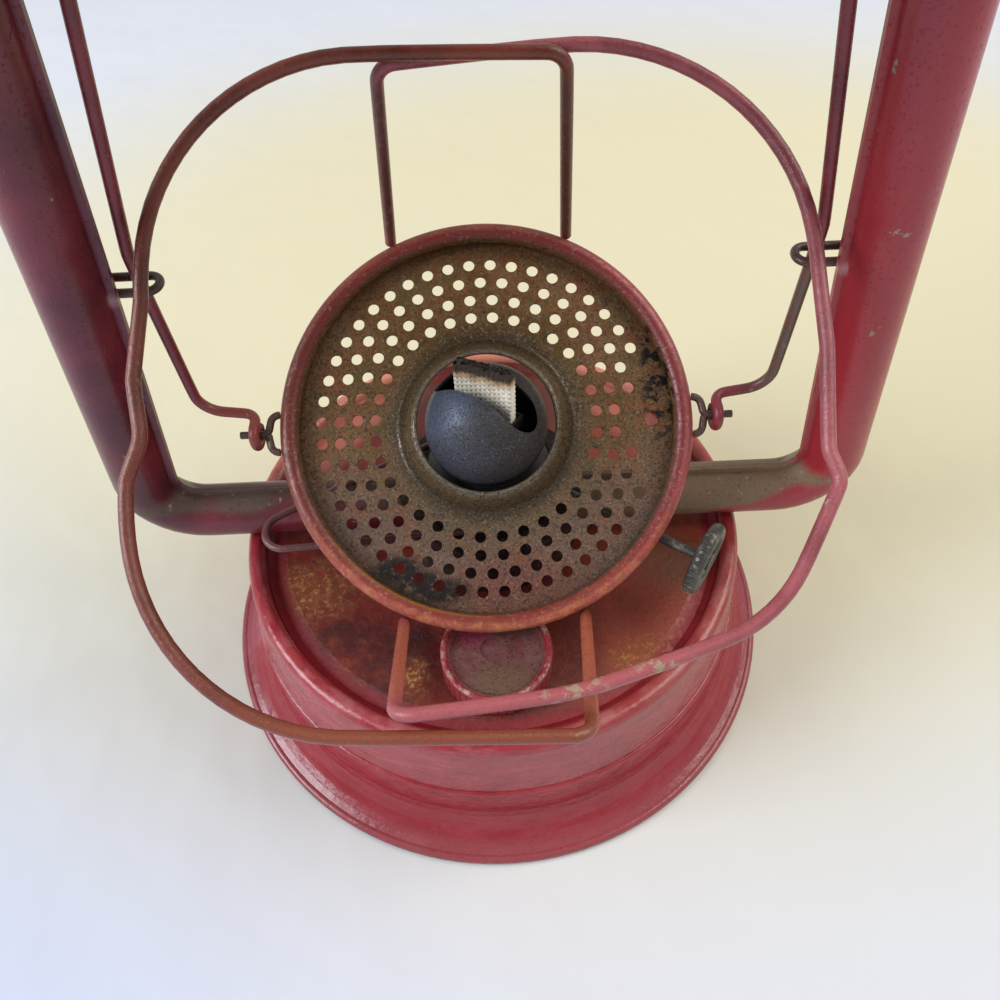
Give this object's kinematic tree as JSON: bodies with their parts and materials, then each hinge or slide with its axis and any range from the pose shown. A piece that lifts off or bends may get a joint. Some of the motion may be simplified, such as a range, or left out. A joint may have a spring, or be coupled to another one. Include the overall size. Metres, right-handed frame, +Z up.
{
  "type": "hurricane lantern",
  "caption": "Cold-blast wick lantern: flared fount, side air tubes, tilting perforated globe plate with wire guard, lift rods and lever, flat-wick burner, sprung hood and bail.",
  "frame": {"origin": "centre of the base, on the surface that it stands on", "axes": "+Z up, -Y to the front, where the filler cap is, +X to the right, where the wick knob is"},
  "size_m": [0.1772, 0.15, 0.336],
  "materials": {
    "red_paint": "faded satin enamel on sheet steel",
    "worn_paint": "worn, stained enamel",
    "painted_wire": "worn enamel on steel wire",
    "tarnished_tin": "sooty, tarnished tinplate",
    "brass": "dull brass",
    "zinc_steel": "dull zinc plate",
    "blued_steel": "heat-blued steel",
    "cotton": "woven cotton",
    "gasket": "matte"
  },
  "bodies": {
    "frame": {"fount_body": "red_paint", "fount_top": "worn_paint", "fount_bottom": "red_paint", "filler_neck": "brass", "burner_collar": "brass", "air_chamber": "red_paint", "burner_body": "tarnished_tin", "burner_cone": "blued_steel", "wick_tube": "brass", "finger_loop": "painted_wire", "left_guide": "painted_wire", "right_guide": "painted_wire", "lever_bracket": "red_paint", "lever_pin": "zinc_steel", "left_tube": "red_paint", "right_tube": "red_paint", "crown_pan": "red_paint", "crown_lid": "red_paint", "hold_down_spring": "zinc_steel", "left_bail_lug": "red_paint", "right_bail_lug": "red_paint"},
    "filler": {"filler_cap": "red_paint", "cap_gasket": "gasket"},
    "wick_drive": {"wick_shaft": "zinc_steel", "spur_wheels": "brass", "wick_knob": "zinc_steel"},
    "wick_strip": {"wick": "cotton"},
    "yoke": {"lift_yoke": "painted_wire"},
    "carriage": {"globe_plate": "tarnished_tin", "left_ear": "painted_wire", "right_ear": "painted_wire", "left_guard_wire": "painted_wire", "right_guard_wire": "painted_wire"},
    "lever": {"lift_lever": "red_paint"},
    "hood_set": {"chimney": "red_paint", "spring_seat": "tarnished_tin", "globe_cap": "tarnished_tin", "hood": "red_paint", "hood_ring": "red_paint"},
    "bail": {"bail": "zinc_steel"}
  },
  "joints": [
    {"name": "cap_turn", "type": "hinge", "parent": "frame", "child": "filler", "pos_m": [0, -0.041, 0.045], "axis": [0, 0, 1], "range_deg": [0, 90]},
    {"name": "knob_turn", "type": "hinge", "parent": "frame", "child": "wick_drive", "pos_m": [0.00281, 0.00401, 0.0592], "axis": [0.8192, -0.5736, 0], "range_deg": [-104, 138]},
    {"name": "wick_raise", "type": "slide", "parent": "frame", "child": "wick_strip", "axis": [0, 0, 1], "range_m": [-0.008, 0.006]},
    {"name": "globe_lift", "type": "slide", "parent": "frame", "child": "yoke", "axis": [0, 0, 1], "range_m": [0, 0.012]},
    {"name": "lever_press", "type": "hinge", "parent": "frame", "child": "lever", "pos_m": [0.06636, 0.0115, 0.17117], "axis": [0, 1, 0], "range_deg": [0, 49]},
    {"name": "plate_tilt", "type": "hinge", "parent": "yoke", "child": "carriage", "pos_m": [0, 0, 0.0767], "axis": [1, 0, 0], "range_deg": [-32.5, 0]},
    {"name": "hood_lift", "type": "slide", "parent": "frame", "child": "hood_set", "axis": [0, 0, 1], "range_m": [0, 0.008], "deforming": ["hold_down_spring"]},
    {"name": "bail_swing", "type": "hinge", "parent": "frame", "child": "bail", "pos_m": [0, 0, 0.2065], "axis": [1, 0, 0], "range_deg": [-100, 100]}
  ],
  "couplings": [
    {"joint": "wick_raise", "follows": "knob_turn", "m_per_rad": -0.0033},
    {"joint": "lever_press", "follows": "globe_lift", "rad_per_m": 70.626}
  ]
}
